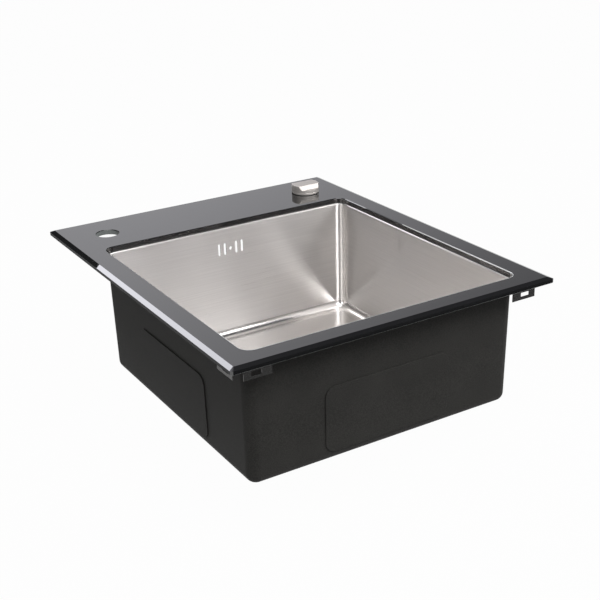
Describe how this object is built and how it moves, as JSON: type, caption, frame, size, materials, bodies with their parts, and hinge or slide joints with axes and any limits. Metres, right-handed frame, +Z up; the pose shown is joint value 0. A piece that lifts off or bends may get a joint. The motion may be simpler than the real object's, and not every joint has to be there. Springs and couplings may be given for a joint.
{
  "type": "kitchen sink",
  "caption": "Inset kitchen sink: bevelled black glass deck around a deep pressed steel bowl, with a tap hole, a basket waste and a ledge knob that lifts its plug.",
  "frame": {"origin": "centre of the deck's outline, on the worktop's surface under the foam strip", "axes": "+X to the right along the tap ledge, +Y towards the ledge, +Z up"},
  "size_m": [0.5, 0.6, 0.3081],
  "materials": {
    "black_glass": "polished black",
    "bowl_steel": "satin inside, matt black coat outside",
    "satin_steel": "satin",
    "knob_metal": "satin nickel plate",
    "black_rubber": "matt",
    "seal_foam": "closed-cell foam",
    "sound_pad": "matt black coat",
    "black_plastic": "moulded",
    "brass": "turned"
  },
  "bodies": {
    "sink": {"glass_deck": "black_glass", "worktop_seal": "seal_foam", "bond_seal": "black_rubber", "bowl": "bowl_steel", "pad_floor": "sound_pad", "pad_front": "sound_pad", "pad_back": "sound_pad", "pad_left": "sound_pad", "pad_right": "sound_pad", "bracket_front": "satin_steel", "bracket_back": "satin_steel", "bracket_left": "satin_steel", "bracket_right": "satin_steel", "waste_top_gasket": "black_rubber", "waste_lower_gasket": "black_rubber", "waste_flange": "satin_steel", "waste_screws": "satin_steel", "waste_body": "black_plastic", "shaft_gland": "black_plastic", "shaft_oring": "black_rubber", "cable_bracket": "satin_steel", "waste_cable_gland": "black_plastic", "knob_base": "knob_metal", "knob_gasket": "black_rubber", "spindle_oring": "black_rubber", "deck_washer": "black_rubber", "back_nut": "brass", "cable_housing": "black_plastic", "housing_cover": "black_plastic", "knob_cable_gland": "black_plastic"},
    "knob": {"knob_grip": "knob_metal", "grub_screw": "satin_steel", "knob_spindle": "brass", "cable_drum": "black_plastic", "spindle_clip": "satin_steel"},
    "plug": {"basket": "satin_steel", "plug_seal": "black_rubber", "seal_plate": "satin_steel", "stem_nut": "brass", "plug_stem": "brass", "plug_grip": "knob_metal"},
    "rocker": {"rocker_shaft": "brass", "lift_finger": "brass", "crank_arm": "satin_steel"}
  },
  "joints": [
    {"name": "knob_turn", "type": "hinge", "parent": "sink", "child": "knob", "pos_m": [0.1805, 0.231, 0.014], "axis": [0, 0, -1], "range_deg": [0, 90]},
    {"name": "plug_lift", "type": "slide", "parent": "sink", "child": "plug", "axis": [0, 0, 1], "range_m": [0, 0.0104]},
    {"name": "rocker_turn", "type": "hinge", "parent": "sink", "child": "rocker", "pos_m": [0, -0.06666, -0.2403], "axis": [1, 0, 0], "range_deg": [0, 30.05]}
  ],
  "couplings": [
    {"joint": "plug_lift", "follows": "knob_turn", "m_per_rad": 0.0065909},
    {"joint": "rocker_turn", "follows": "knob_turn", "ratio": 0.33333}
  ]
}
